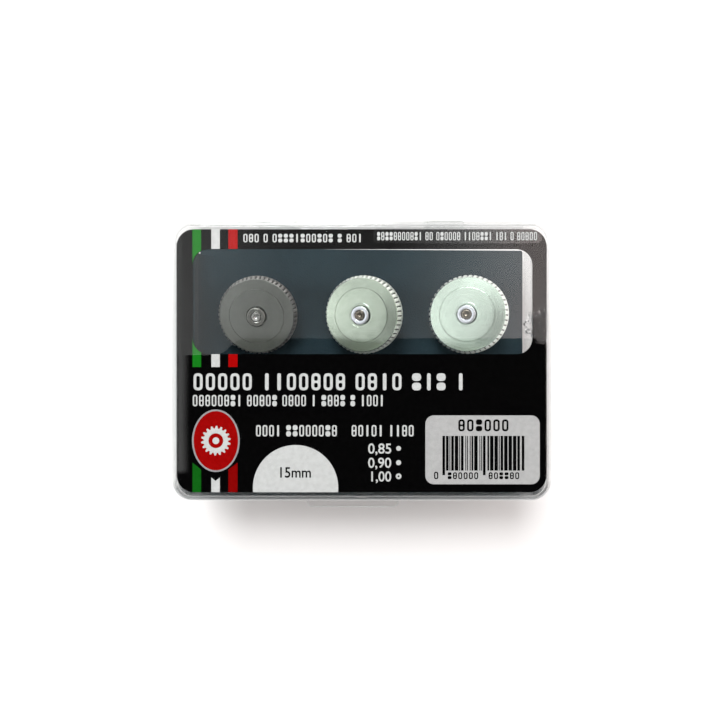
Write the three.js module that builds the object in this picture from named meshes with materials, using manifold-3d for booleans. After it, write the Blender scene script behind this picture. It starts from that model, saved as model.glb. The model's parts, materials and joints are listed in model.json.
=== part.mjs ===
// Rivet marking wheel set: three toothed steel wheels on axle pins, standing in a foam pad in a
// hinged clear case, with a printed card under the lid.
//
// Millimetres. The origin is the middle of the case's footprint, on the surface it stands on.
// +X is to the right, +Y towards the hinge and +Z up. The lid is shut.

import * as THREE from "three";
import { mergeVertices } from "three/addons/utils/BufferGeometryUtils.js";
import Module from "manifold-3d";

const wasm = await Module();
wasm.setup();

// ---------------------------------------------------------------- driving dimensions

const CASE = {
  width: 66.4,
  depth: 49,
  height: 18,
  corner: 3.4, // radius of the upright corners
  edge: 0.8, // rounding of the top and bottom edges
  wall: 0.6,
  floor: 1.0,
  top: 1.0,
  split: 11, // height where tray and lid meet
  splitGap: 0.1,
};

const LIP = { thickness: 0.45, clearance: 0.12, below: 0.6, above: 0.9 };

const HINGE = {
  y: 26.1,
  z: 9.2,
  radius: 1.2,
  stubRadius: 0.58,
  holeRadius: 0.67,
  barrel: 24, // length of the tray's middle barrel
  ear: 6.9, // length of each of the lid's ears
  endGap: 0.3,
  snapSlot: 0.98, // narrower than a stub, so that the ears click on
  slotDrop: 2, // how far the slot's cutter reaches below the axis
  armRise: 1.2, // how far an ear's arm reaches up the lid's back wall
};

const LATCH = {
  tabWidth: 17,
  tabX: -1.6, // middle of the thumb tab
  tabCorner: 0.9,
  tabReach: 2.8, // how far the thumb tab stands out of the front wall
  tabThickness: 1.2,
  tongueWidth: 9,
  tongueThickness: 0.8,
  tongueDrop: 3.6,
  wallGap: 0.2,
  windowWidth: 2.6,
  windowHeight: 1.4,
  toothWidth: 1.8,
  toothReach: 0.7,
  toothHeight: 0.9,
  toothZ: 8.9, // middle of the snap tooth
  toothStep: 0.2, // height of the tooth's upright nose
  ribWidth: 1.8,
  ribReach: 0.5,
  ribHeight: 3.2,
};

const CARD = { width: 65, depth: 46.2, corner: 3, thickness: 0.3, gapAbove: 0.05 };
const CARD_WINDOW = { left: -29.7, right: 30.1, front: 1.15, back: 19.65, corner: 2.8 };
const NUB = { length: 2, reach: 0.35, height: 0.4, y: 14, gap: 0.05 };

const STICKER = { left: 2, right: 31.4, front: 20.4, back: 23, corner: 0.9, thickness: 0.08, gap: 0.02 };

// The pad is a little longer than the tray, so its left end rides up the wall in a curve.
// Its back corners, which stand clear of the tray's, are nearly square.
const FOAM = { left: -32.5, right: 32.5, front: -23.7, back: 22.2, corner: 2.8, bottom: 1.05, top: 4.5 };
const FOAM_BACK = { left: FOAM.left, right: FOAM.right, front: 12, back: FOAM.back, corner: 0.8 };
const FOAM_CURL = { front: -20.9, back: 21, radius: 3.6, thickness: 0.6, top: 9.7, edge: 0.3, steps: 5 };
const PIN_HOLE_CLEARANCE = 0.12;

const WHEEL = {
  tipRadius: 7.5,
  tipHalf: 0.8, // half the width of the ridge that the teeth are cut in
  valleyRadius: 7.15, // bottom of the notches between teeth
  rimRadius: 7.02,
  rimHalf: 1.66,
  coneRadius: 6.88,
  coneHalf: 1.88,
  faceHalf: 2.1, // half the thickness where the coned face meets the flange
  webHalf: 0.5,
  gapToFoam: 0.15,
};
const FLANGE = { radius: 5.1, seatRadius: 5.16, holeRadius: 1.95, proud: 0.12, webGap: 0.05, chamfer: 0.12 };
const BUSH = { radius: 1.72, boreGap: 0.05, half: 3, innerRadius: 0.95, chamfer: 0.2 };
const PIN = { radius: 0.87, front: 3.15, back: 6.3, chamfer: 0.2, dimpleRadius: 0.5, dimpleDepth: 0.42 };

// Each wheel's tooth pitch, where its centre stands, and how its front leans: the angle off
// upright, and the direction it leans towards, in degrees from +X.
const WHEELS = [
  { name: "85", pitch: 0.85, x: -20, y: 8.85, lean: 13, towards: -80 },
  { name: "90", pitch: 0.9, x: 0.45, y: 8.85, lean: 18, towards: 205 },
  { name: "100", pitch: 1.0, x: 20.55, y: 8.85, lean: 20, towards: 190 },
];

const CORNER_STEPS = 3; // sides in half of a rounded corner
const ROUND_SIDES = 40;
const SMALL_SIDES = 24;
const HOLE_SIDES = 16;
const CUT_PAST = 1; // how far a cutter reaches past what it cuts

// ---------------------------------------------------------------- finishes

const finish = (color, roughness, metalness, opacity = 1) =>
  new THREE.MeshStandardMaterial({ color, roughness, metalness, opacity, transparent: opacity < 1 });

const CLEAR_PLASTIC = finish(0xe9efee, 0.05, 0, 0.25);
const CLEAR_FILM = finish(0xf2f4f4, 0.2, 0, 0.3);
const PRINTED_CARD = finish(0x0b0b0c, 0.35, 0);
const FOAM_BLUE = finish(0x202d36, 0.95, 0);
const DARK_STEEL = finish(0x757a74, 0.4, 1);
const BRIGHT_STEEL = finish(0xb9c8b9, 0.3, 1);
const POLISHED_STEEL = finish(0xd5dce2, 0.18, 1);

// ---------------------------------------------------------------- solids

function solidOf(geometry) {
  const bare = geometry.clone();
  for (const name of Object.keys(bare.attributes)) {
    if (name !== "position") bare.deleteAttribute(name);
  }
  const merged = mergeVertices(bare, 1e-4);
  const index = merged.index.array;
  const triVerts = [];
  for (let i = 0; i < index.length; i += 3) {
    const [a, b, c] = [index[i], index[i + 1], index[i + 2]];
    if (a !== b && b !== c && c !== a) triVerts.push(a, b, c);
  }
  return new wasm.Manifold(
    new wasm.Mesh({
      numProp: 3,
      vertProperties: new Float32Array(merged.attributes.position.array),
      triVerts: new Uint32Array(triVerts),
    }),
  );
}

function geometryOf(solid) {
  const mesh = solid.getMesh();
  const geometry = new THREE.BufferGeometry();
  geometry.setAttribute("position", new THREE.BufferAttribute(mesh.vertProperties, 3));
  geometry.setIndex(new THREE.BufferAttribute(mesh.triVerts, 1));
  geometry.computeVertexNormals();
  return geometry;
}

function roundedRect({ left, right, front, back, corner }, Outline = THREE.Shape) {
  const outline = new Outline();
  outline.moveTo(left + corner, front);
  outline.lineTo(right - corner, front);
  outline.absarc(right - corner, front + corner, corner, -Math.PI / 2, 0);
  outline.lineTo(right, back - corner);
  outline.absarc(right - corner, back - corner, corner, 0, Math.PI / 2);
  outline.lineTo(left + corner, back);
  outline.absarc(left + corner, back - corner, corner, Math.PI / 2, Math.PI);
  outline.lineTo(left, front + corner);
  outline.absarc(left + corner, front + corner, corner, Math.PI, 1.5 * Math.PI);
  return outline;
}

// A flat plate of the given outline between two heights. With edge, its top and bottom are rounded.
function slab(shape, low, high, edge = 0) {
  const geometry = new THREE.ExtrudeGeometry(shape, {
    depth: high - low - 2 * edge,
    curveSegments: CORNER_STEPS,
    bevelEnabled: edge > 0,
    bevelThickness: edge,
    bevelSize: edge,
    bevelOffset: -edge,
    bevelSegments: 3,
  });
  return geometry.translate(0, 0, low + edge);
}

function centred(width, depth, corner) {
  return { left: -width / 2, right: width / 2, front: -depth / 2, back: depth / 2, corner };
}

// The case's outline, drawn in by a distance all round.
function caseOutline(inset) {
  return roundedRect(centred(CASE.width - 2 * inset, CASE.depth - 2 * inset, CASE.corner - inset));
}

function box(x0, x1, y0, y1, z0, z1) {
  const geometry = new THREE.BoxGeometry(x1 - x0, y1 - y0, z1 - z0);
  return geometry.translate((x0 + x1) / 2, (y0 + y1) / 2, (z0 + z1) / 2);
}

// A round bar along X, on the hinge's axis.
function hingeBar(radius, x0, x1, sides = SMALL_SIDES) {
  const geometry = new THREE.CylinderGeometry(radius, radius, x1 - x0, sides);
  return geometry.rotateZ(Math.PI / 2).translate((x0 + x1) / 2, HINGE.y, HINGE.z);
}

// A body turned about its own Z axis. The profile's points are [radius, height].
function turned(profile, sides) {
  const points = profile.map(([radius, height]) => new THREE.Vector2(radius, height));
  return new THREE.LatheGeometry(points, sides).rotateX(Math.PI / 2);
}

// A flat shape drawn in Y and Z, given a width along X, with its middle on X = 0.
function alongX(shape, width) {
  const geometry = new THREE.ExtrudeGeometry(shape, { depth: width, bevelEnabled: false });
  const toXYZ = new THREE.Matrix4().makeBasis(
    new THREE.Vector3(0, 1, 0),
    new THREE.Vector3(0, 0, 1),
    new THREE.Vector3(1, 0, 0),
  );
  return geometry.translate(0, 0, -width / 2).applyMatrix4(toXYZ);
}

function mesh(name, geometry, material) {
  const piece = new THREE.Mesh(geometry, material.clone());
  piece.name = name;
  return piece;
}

// ---------------------------------------------------------------- case

const BACK_WALL = CASE.depth / 2;
const FRONT_WALL = -CASE.depth / 2;
const TRAY_RIM = CASE.split - CASE.splitGap / 2;
const LID_RIM = CASE.split + CASE.splitGap / 2;
const CARD_TOP = CASE.height - CASE.top - CARD.gapAbove;
const OVERLAP = 0.3; // how far joined features reach into the wall they grow from

const caseBlock = () => solidOf(slab(caseOutline(0), 0, CASE.height, CASE.edge));

function halfSpace(z0, z1) {
  return solidOf(box(-CASE.width, CASE.width, -CASE.depth, CASE.depth, z0, z1));
}

function lipRing(outerInset, z0, z1) {
  const innerInset = CASE.wall + LIP.clearance + LIP.thickness;
  return solidOf(slab(caseOutline(outerInset), z0, z1)).subtract(
    solidOf(slab(caseOutline(innerInset), z0 - CUT_PAST, z1 + CUT_PAST)),
  );
}

function makeCaseBase() {
  const cavity = solidOf(slab(caseOutline(CASE.wall), CASE.floor, CASE.height));
  const toothBack = FRONT_WALL + OVERLAP;
  const toothFront = FRONT_WALL - LATCH.toothReach;
  const halfTooth = LATCH.toothHeight / 2;
  const half = HINGE.barrel / 2;
  const stubEnd = half + HINGE.ear;
  const web = box(-half, half, BACK_WALL - OVERLAP, HINGE.y, HINGE.z - HINGE.radius, HINGE.z + HINGE.radius);
  const tray = caseBlock()
    .intersect(halfSpace(-CUT_PAST, TRAY_RIM))
    .subtract(cavity)
    .add(lipRing(CASE.wall - OVERLAP, CASE.split - LIP.below, TRAY_RIM))
    .add(lipRing(CASE.wall + LIP.clearance, CASE.split - LIP.below, CASE.split + LIP.above))
    .add(solidOf(hingeBar(HINGE.radius, -half, half)))
    .add(solidOf(web))
    .add(solidOf(hingeBar(HINGE.stubRadius, -stubEnd, stubEnd, HOLE_SIDES)));
  const tooth = new THREE.Shape([
    new THREE.Vector2(toothBack, LATCH.toothZ - halfTooth),
    new THREE.Vector2(toothFront, LATCH.toothZ - halfTooth),
    new THREE.Vector2(toothFront, LATCH.toothZ - halfTooth + LATCH.toothStep),
    new THREE.Vector2(toothBack, LATCH.toothZ + halfTooth),
  ]);
  return tray.add(solidOf(alongX(tooth, LATCH.toothWidth)));
}

// One of the lid's hinge ears: an arm that hangs behind the tray's wall, with a ring at its end.
function lidEar(side) {
  const near = side * (HINGE.barrel / 2 + HINGE.endGap);
  const far = near + side * HINGE.ear;
  const [x0, x1] = [Math.min(near, far), Math.max(near, far)];
  const [y0, y1] = [HINGE.y - HINGE.radius, HINGE.y];
  const armTop = LID_RIM + HINGE.armRise;
  const half = HINGE.snapSlot / 2;
  const slot = box(
    x0 - CUT_PAST, x1 + CUT_PAST, HINGE.y - half, HINGE.y + half, HINGE.z - HINGE.slotDrop, HINGE.z,
  );
  return solidOf(hingeBar(HINGE.radius, x0, x1))
    .add(solidOf(box(x0, x1, y0, y1, HINGE.z, armTop)))
    .add(solidOf(box(x0, x1, BACK_WALL - OVERLAP, y1, LID_RIM, armTop)))
    .subtract(solidOf(hingeBar(HINGE.holeRadius, x0 - CUT_PAST, x1 + CUT_PAST, HOLE_SIDES)))
    .subtract(solidOf(slot));
}

function cardNub(side, y) {
  const wall = side * (CASE.width / 2 - CASE.wall);
  const top = CARD_TOP - CARD.thickness - NUB.gap;
  const [x0, x1] = [wall - side * NUB.reach, wall + side * OVERLAP].sort((a, b) => a - b);
  return solidOf(box(x0, x1, y - NUB.length / 2, y + NUB.length / 2, top - NUB.height, top));
}

function makeCaseLid() {
  const cavity = solidOf(slab(caseOutline(CASE.wall), 0, CASE.height - CASE.top));
  const tabTop = LID_RIM + LATCH.tabThickness;
  const tab = roundedRect({
    left: LATCH.tabX - LATCH.tabWidth / 2,
    right: LATCH.tabX + LATCH.tabWidth / 2,
    front: FRONT_WALL - LATCH.tabReach,
    back: FRONT_WALL + OVERLAP,
    corner: LATCH.tabCorner,
  });
  const tongueBack = FRONT_WALL - LATCH.wallGap;
  const tongueFront = tongueBack - LATCH.tongueThickness;
  const tongue = box(
    -LATCH.tongueWidth / 2, LATCH.tongueWidth / 2, tongueFront, tongueBack,
    LID_RIM - LATCH.tongueDrop, tabTop - OVERLAP,
  );
  const snapWindow = box(
    -LATCH.windowWidth / 2, LATCH.windowWidth / 2, tongueFront - CUT_PAST, tongueBack + CUT_PAST,
    LATCH.toothZ - LATCH.windowHeight / 2, LATCH.toothZ + LATCH.windowHeight / 2,
  );
  const rib = box(
    -LATCH.ribWidth / 2, LATCH.ribWidth / 2, FRONT_WALL - LATCH.ribReach, FRONT_WALL + OVERLAP,
    tabTop - OVERLAP, tabTop + LATCH.ribHeight,
  );
  const thumbEdge = solidOf(slab(tab, LID_RIM, tabTop))
    .add(solidOf(tongue))
    .subtract(solidOf(snapWindow))
    .add(solidOf(rib));
  let lid = caseBlock().intersect(halfSpace(LID_RIM, CASE.height + CUT_PAST)).subtract(cavity).add(thumbEdge);
  for (const side of [-1, 1]) {
    lid = lid.add(lidEar(side));
    for (const y of [-NUB.y, NUB.y]) lid = lid.add(cardNub(side, y));
  }
  return lid;
}

function makeCard() {
  const card = roundedRect(centred(CARD.width, CARD.depth, CARD.corner));
  card.holes.push(roundedRect(CARD_WINDOW, THREE.Path));
  return slab(card, CARD_TOP - CARD.thickness, CARD_TOP);
}

function makeSticker() {
  const bottom = CASE.height + STICKER.gap;
  return slab(roundedRect(STICKER), bottom, bottom + STICKER.thickness);
}

// ---------------------------------------------------------------- wheels

// The unit vector along a wheel's axle, out of its front.
function axleDirection({ lean, towards }) {
  const tilt = THREE.MathUtils.degToRad(lean);
  const heading = THREE.MathUtils.degToRad(towards);
  return new THREE.Vector3(
    Math.sin(tilt) * Math.cos(heading),
    Math.sin(tilt) * Math.sin(heading),
    Math.cos(tilt),
  );
}

// The height of a wheel's centre when its lowest edge is just clear of the foam.
function centreHeight({ lean }) {
  const tilt = THREE.MathUtils.degToRad(lean);
  const backEdges = [
    [WHEEL.tipRadius, WHEEL.tipHalf],
    [WHEEL.rimRadius, WHEEL.rimHalf],
    [WHEEL.coneRadius, WHEEL.coneHalf],
    [FLANGE.radius, WHEEL.faceHalf + FLANGE.proud],
    [BUSH.radius, BUSH.half],
  ];
  const drops = backEdges.map(([radius, half]) => radius * Math.sin(tilt) + half * Math.cos(tilt));
  return FOAM.top + WHEEL.gapToFoam + Math.max(...drops);
}

// Puts a body made about its own Z axis on a wheel's axle.
function axleMatrix(wheel) {
  const turn = new THREE.Quaternion().setFromUnitVectors(new THREE.Vector3(0, 0, 1), axleDirection(wheel));
  const centre = new THREE.Vector3(wheel.x, wheel.y, centreHeight(wheel));
  return new THREE.Matrix4().compose(centre, turn, new THREE.Vector3(1, 1, 1));
}

// The disc is turned with two steps to each tooth. At every other step the ridge's front edge is
// drawn in to the bottom of a notch. The notches run out at the ridge's back edge.
function makeToothedDisc({ pitch }) {
  const teeth = Math.floor((2 * Math.PI * WHEEL.tipRadius) / pitch);
  const steps = 2 * teeth;
  const bore = BUSH.radius + BUSH.boreGap;
  const front = [
    [bore, WHEEL.webHalf],
    [FLANGE.seatRadius, WHEEL.webHalf],
    [FLANGE.seatRadius, WHEEL.faceHalf],
    [WHEEL.coneRadius, WHEEL.coneHalf],
    [WHEEL.rimRadius, WHEEL.rimHalf],
    [WHEEL.tipRadius, WHEEL.tipHalf],
  ];
  const back = front.map(([radius, height]) => [radius, -height]);
  const profile = [...back, ...front.reverse(), back[0]];
  const geometry = turned(profile, steps);
  const position = geometry.attributes.position;
  const ringSize = profile.length;
  for (let i = 0; i < position.count; i++) {
    const step = Math.floor(i / ringSize);
    const radius = Math.hypot(position.getX(i), position.getY(i));
    if (step % 2 === 1 && radius > WHEEL.valleyRadius && position.getZ(i) > 0) {
      const scale = WHEEL.valleyRadius / radius;
      position.setX(i, position.getX(i) * scale);
      position.setY(i, position.getY(i) * scale);
    }
  }
  return geometry;
}

function makeFlange(side) {
  const inner = WHEEL.webHalf + FLANGE.webGap;
  const outer = WHEEL.faceHalf + FLANGE.proud;
  const profile = [
    [FLANGE.holeRadius, inner],
    [FLANGE.radius, inner],
    [FLANGE.radius, outer - FLANGE.chamfer],
    [FLANGE.radius - FLANGE.chamfer, outer],
    [FLANGE.holeRadius, outer],
    [FLANGE.holeRadius, inner],
  ];
  const geometry = turned(profile, ROUND_SIDES);
  return side > 0 ? geometry : geometry.rotateX(Math.PI);
}

function makeBush() {
  const { radius, half, innerRadius, chamfer } = BUSH;
  return turned(
    [
      [innerRadius, -half],
      [radius - chamfer, -half],
      [radius, -half + chamfer],
      [radius, half - chamfer],
      [radius - chamfer, half],
      [innerRadius, half],
      [innerRadius, -half],
    ],
    SMALL_SIDES,
  );
}

function makeAxlePin() {
  const { radius, front, back, chamfer, dimpleRadius, dimpleDepth } = PIN;
  return turned(
    [
      [0, -back],
      [radius - chamfer, -back],
      [radius, -back + chamfer],
      [radius, front - chamfer],
      [radius - chamfer, front],
      [dimpleRadius, front],
      [0, front - dimpleDepth],
    ],
    SMALL_SIDES,
  );
}

// The part of the foam that rides up the tray's left wall, as a shape in X and Z.
function foamCurlSection() {
  const { radius, thickness, top, edge, steps } = FOAM_CURL;
  const inner = FOAM.left + thickness;
  const points = [new THREE.Vector2(inner + radius, FOAM.bottom + edge)];
  for (let i = 0; i <= steps; i++) {
    const turn = (Math.PI / 2) * (1 + i / steps);
    const [across, down] = [radius * Math.cos(turn), radius * Math.sin(turn)];
    points.push(new THREE.Vector2(inner + radius + across, FOAM.top + radius - down));
  }
  points.push(
    new THREE.Vector2(inner, top - edge),
    new THREE.Vector2(inner - edge, top),
    new THREE.Vector2(FOAM.left, top - edge),
    new THREE.Vector2(FOAM.left, FOAM.bottom + edge),
  );
  return new THREE.Shape(points.reverse());
}

function makeFoamPad() {
  const flat = solidOf(slab(roundedRect(FOAM), FOAM.bottom, FOAM.top)).add(
    solidOf(slab(roundedRect(FOAM_BACK), FOAM.bottom, FOAM.top)),
  );
  const length = FOAM_CURL.back - FOAM_CURL.front;
  const curl = new THREE.ExtrudeGeometry(foamCurlSection(), { depth: length, bevelEnabled: false });
  let pad = flat.add(solidOf(curl.rotateX(Math.PI / 2).translate(0, FOAM_CURL.back, 0)));
  for (const wheel of WHEELS) {
    const radius = PIN.radius + PIN_HOLE_CLEARANCE;
    const hole = new THREE.CylinderGeometry(radius, radius, 2 * CASE.height, HOLE_SIDES).rotateX(Math.PI / 2);
    pad = pad.subtract(solidOf(hole.applyMatrix4(axleMatrix(wheel))));
  }
  return pad;
}

function makeWheel(wheel, steel) {
  const group = new THREE.Group();
  group.add(
    mesh(`toothed_disc_${wheel.name}`, makeToothedDisc(wheel), steel),
    mesh(`front_flange_${wheel.name}`, makeFlange(1), steel),
    mesh(`rear_flange_${wheel.name}`, makeFlange(-1), steel),
    mesh(`hub_bush_${wheel.name}`, makeBush(), POLISHED_STEEL),
    mesh(`axle_pin_${wheel.name}`, makeAxlePin(), POLISHED_STEEL),
  );
  group.applyMatrix4(axleMatrix(wheel));
  return group;
}

// ---------------------------------------------------------------- assembly

const wheelSet = new THREE.Group();
wheelSet.add(
  mesh("case_base", geometryOf(makeCaseBase()), CLEAR_PLASTIC),
  mesh("case_lid", geometryOf(makeCaseLid()), CLEAR_PLASTIC),
  mesh("printed_card", makeCard(), PRINTED_CARD),
  mesh("clear_sticker", makeSticker(), CLEAR_FILM),
  mesh("foam_pad", geometryOf(makeFoamPad()), FOAM_BLUE),
  ...WHEELS.map((wheel, i) => makeWheel(wheel, i === 0 ? DARK_STEEL : BRIGHT_STEEL)),
);

export default wheelSet;
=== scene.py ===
"""Looks of the rivet marking wheel set: a clear hinged case with a printed card under its lid, and
three toothed steel wheels on axle pins in a foam pad.

Shapes are drawn in millimetres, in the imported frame's own axes, and turned into metres at the end.
"""

import json
import math
import random

import bmesh
import bpy
from mathutils import Matrix, Vector
from mathutils.geometry import delaunay_2d_cdt


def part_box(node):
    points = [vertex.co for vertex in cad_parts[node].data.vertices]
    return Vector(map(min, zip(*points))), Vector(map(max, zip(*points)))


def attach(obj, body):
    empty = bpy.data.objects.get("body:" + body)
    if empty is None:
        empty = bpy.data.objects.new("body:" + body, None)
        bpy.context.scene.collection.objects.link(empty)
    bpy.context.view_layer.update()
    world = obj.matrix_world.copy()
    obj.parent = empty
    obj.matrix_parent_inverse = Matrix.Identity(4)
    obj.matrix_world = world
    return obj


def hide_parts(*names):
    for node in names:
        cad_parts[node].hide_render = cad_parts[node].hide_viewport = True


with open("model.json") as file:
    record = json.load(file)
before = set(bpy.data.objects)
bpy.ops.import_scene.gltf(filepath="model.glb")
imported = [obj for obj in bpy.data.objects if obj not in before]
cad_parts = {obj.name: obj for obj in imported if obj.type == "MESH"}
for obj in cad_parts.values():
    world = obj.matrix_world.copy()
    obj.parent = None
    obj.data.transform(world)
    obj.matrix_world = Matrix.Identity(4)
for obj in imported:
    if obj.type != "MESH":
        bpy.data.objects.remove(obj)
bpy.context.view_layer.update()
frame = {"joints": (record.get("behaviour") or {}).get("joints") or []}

MM = 0.001


def cad_box(node):
    """A CAD node's lowest and highest corner, in millimetres."""
    low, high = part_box(node)
    return Vector(low) / MM, Vector(high) / MM


def joint(name):
    return next(j for j in frame["joints"] if j["name"] == name)


# ---------------------------------------------------------------- sizes, in millimetres

CARD_LOW, CARD_HIGH = cad_box("printed_card")
FOAM_LOW, FOAM_HIGH = cad_box("foam_pad")
STICKER_LOW, STICKER_HIGH = cad_box("clear_sticker")
HINGE = Vector(joint("lid_hinge")["pos_m"]) / MM

CASE_WIDTH = cad_box("case_lid")[1].x - cad_box("case_lid")[0].x
CASE_DEPTH = 49  # without the hinge and the thumb tab
CASE_HEIGHT = cad_box("case_lid")[1].z
CASE_CORNER = 3.4
EDGE = 0.8  # rounding of the case's top and bottom edges
WALL = 0.6
FLOOR, FLOOR_ROUNDING = 1.0, 0.5  # thickness, and rounding inside
TOP, TOP_ROUNDING = 1.0, 0.3
SPLIT = 11.0  # height where tray and lid meet
TRAY_RIM = SPLIT - 0.05
LID_RIM = SPLIT + 0.05
LIP_OUT, LIP_IN = 0.72, 1.17  # how far the lip's two faces stand in from the case's outline
LIP_LOW, LIP_TOP = SPLIT - 0.6, SPLIT + 0.9
RIM_EDGE, LIP_EDGE = 0.1, 0.12  # chamfers
NEAR = 0.04  # flats have a ring this close to each rounding, which keeps them flat to the eye
OVERLAP = 0.3  # how far a joined body reaches into the wall it stands on

HINGE_RADIUS = 1.2
STUB_RADIUS = 0.58
EAR_HOLE = 0.67
BARREL_HALF = 12.0
EAR_NEAR, EAR_FAR = 12.3, 19.2
SNAP_SLOT = 0.98  # the slot that an ear clicks over a stub through
ARM_RISE = 1.2  # how far an ear's arm reaches up the lid's back wall

TAB_X, TAB_WIDTH, TAB_REACH, TAB_THICKNESS = -1.6, 17.0, 2.8, 1.2
TONGUE_WIDTH, TONGUE_THICKNESS, TONGUE_DROP, TONGUE_GAP = 9.0, 0.8, 3.6, 0.2
TONGUE_WINDOW_HALF = (1.3, 0.7)  # half the width and half the height of the tongue's window
TOOTH_Z, TOOTH_REACH, TOOTH_HALF_WIDTH, TOOTH_HALF_HEIGHT = 8.9, 0.7, 0.9, 0.45
RIB_HALF, RIB_REACH, RIB_HEIGHT = 0.9, 0.5, 3.2
NUB_Y, NUB_HALF, NUB_REACH, NUB_HEIGHT = 14, 1, 0.35, 0.4

WINDOW = (-29.7, 30.1, 1.15, 19.65)  # left, right, front and back edge of the card's window
WINDOW_CORNER = 2.8
CARD_CORNER = 3
STICKER_CORNER = 0.9

FOAM_TOP = 4.5  # the flat part's height
FOAM_SOFT = 0.2  # rounding of its cut edges
FOAM_CORNER, FOAM_BACK_CORNER = 2.8, 0.4
FOAM_SKEW = 0.45  # how much further back its left end reaches than its right end
CURL_THICKNESS, CURL_RADIUS, CURL_LOW = 0.6, 3.6, 1.4
PIN_HOLE = 0.99

# The wheels' parts: radii, and heights from the disc's middle.
WHEEL_NAMES = ("85", "90", "100")
TEETH = {"85": 55, "90": 52, "100": 47}
TIP, RIM = 7.5, 7.02
DISC_BORE, SEAT, WEB_HALF = 1.77, 5.16, 0.5
PLATE, PLATE_HOLE, PLATE_LOW = 5.1, 1.95, 0.55
BUSH, BUSH_BORE = 1.72, 0.95
PIN, PIN_FRONT, PIN_BACK = 0.87, 3.15, 6.3


# ---------------------------------------------------------------- mesh helpers


def rounded_outline(left, right, front, back, corner, steps=10, back_corner=None):
    """Points round a rectangle with round corners, anticlockwise from its front left corner."""
    rear = corner if back_corner is None else back_corner
    corners = (
        (left + corner, front + corner, corner, 180),
        (right - corner, front + corner, corner, 270),
        (right - rear, back - rear, rear, 0),
        (left + rear, back - rear, rear, 90),
    )
    points = []
    for x, y, radius, start in corners:
        for i in range(steps + 1):
            a = math.radians(start + 90 * i / steps)
            points.append((x + radius * math.cos(a), y + radius * math.sin(a)))
    return points


def circle_outline(x, y, radius, steps=48):
    return [
        (x + radius * math.cos(2 * math.pi * i / steps), y + radius * math.sin(2 * math.pi * i / steps))
        for i in range(steps)
    ]


def box_outline(left, right, front, back):
    return [(left, front), (right, front), (right, back), (left, back)]


def arc(cx, cz, radius, start, end, steps=6):
    """Points on an arc, for a profile drawn as (inset or radius, height)."""
    angles = [math.radians(start + (end - start) * i / steps) for i in range(steps + 1)]
    return [(cx + radius * math.cos(a), cz + radius * math.sin(a)) for a in angles]


def loft(rings, closed=False):
    """A skin through rings of equal length. Open lofts are capped at both ends."""
    bm = bmesh.new()
    loops = [[bm.verts.new(p) for p in ring] for ring in rings]
    pairs = list(zip(loops, loops[1:]))
    if closed:
        pairs.append((loops[-1], loops[0]))
    for a, b in pairs:
        for i in range(len(a)):
            j = (i + 1) % len(a)
            bm.faces.new((a[i], a[j], b[j], b[i]))
    if not closed:
        bm.faces.new(loops[0])
        bm.faces.new(loops[-1])
    bmesh.ops.remove_doubles(bm, verts=bm.verts, dist=1e-5)
    bmesh.ops.recalc_face_normals(bm, faces=bm.faces)
    return bm


def case_ring(inset, z):
    """The case's outline drawn in by a distance, at a height."""
    x, y = CASE_WIDTH / 2 - inset, CASE_DEPTH / 2 - inset
    return [(px, py, z) for px, py in rounded_outline(-x, x, -y, y, CASE_CORNER - inset, steps=12)]


def turned(profile, steps, closed=False):
    """A body turned about Z from a profile of (radius, height)."""
    rings = []
    for radius, z in profile:
        turns = [2 * math.pi * i / steps for i in range(steps)]
        rings.append([(radius * math.cos(a), radius * math.sin(a), z) for a in turns])
    return loft(rings, closed)


def block(x0, x1, y0, y1, z0, z1, bevel=0.0):
    """A block between two corners, with its edges rounded where a bevel is given."""
    bm = bmesh.new()
    bmesh.ops.create_cube(bm, size=1)
    bm.transform(
        Matrix.Translation(((x0 + x1) / 2, (y0 + y1) / 2, (z0 + z1) / 2))
        @ Matrix.Diagonal((x1 - x0, y1 - y0, z1 - z0, 1))
    )
    if bevel:
        bmesh.ops.bevel(bm, geom=bm.edges, offset=bevel, segments=3, profile=0.5, affect="EDGES")
    return bm


def bar_along_x(radius, x0, x1, y, z, edge=0.0, steps=40):
    """A round bar along X with rounded ends."""
    profile = [(0, x0), (radius - edge, x0), (radius, x0 + edge)]
    profile += [(radius, x1 - edge), (radius - edge, x1), (0, x1)]
    bm = turned(profile, steps)
    bm.transform(Matrix.Translation((0, y, z)) @ Matrix.Rotation(math.pi / 2, 4, "Y"))
    return bm


def as_object(name, bm):
    """Puts a bmesh into the scene, still in millimetres."""
    mesh = bpy.data.meshes.new(name)
    bm.to_mesh(mesh)
    bm.free()
    piece = bpy.data.objects.new(name, mesh)
    bpy.context.scene.collection.objects.link(piece)
    return piece


def cut_or_join(piece, bm, operation):
    """Joins another body to a piece (UNION) or cuts it away (DIFFERENCE)."""
    tool = as_object("tool", bm)
    modifier = piece.modifiers.new("cut_or_join", "BOOLEAN")
    modifier.operation = operation
    modifier.object = tool
    modifier.solver = "EXACT"
    shape = piece.evaluated_get(bpy.context.evaluated_depsgraph_get())
    result = bpy.data.meshes.new_from_object(shape)
    piece.modifiers.clear()
    piece.data = result
    bpy.data.objects.remove(tool)


def finish_piece(piece, body, node, materials, sharp=32, place=None):
    """Smooths a piece except at its sharp edges, turns it into metres and gives it to its body.
    Edges that turn by more than `sharp` degrees stay sharp."""
    bm = bmesh.new()
    bm.from_mesh(piece.data)
    for face in bm.faces:
        face.smooth = True
    for edge in bm.edges:
        edge.smooth = len(edge.link_faces) != 2 or edge.calc_face_angle(0) < math.radians(sharp)
    bm.transform(Matrix.Scale(MM, 4))
    bm.to_mesh(piece.data)
    bm.free()
    for material in materials:
        piece.data.materials.append(material)
    if place is not None:
        piece.matrix_world = place
    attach(piece, body)
    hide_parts(node)
    return piece


# ---------------------------------------------------------------- materials


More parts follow.
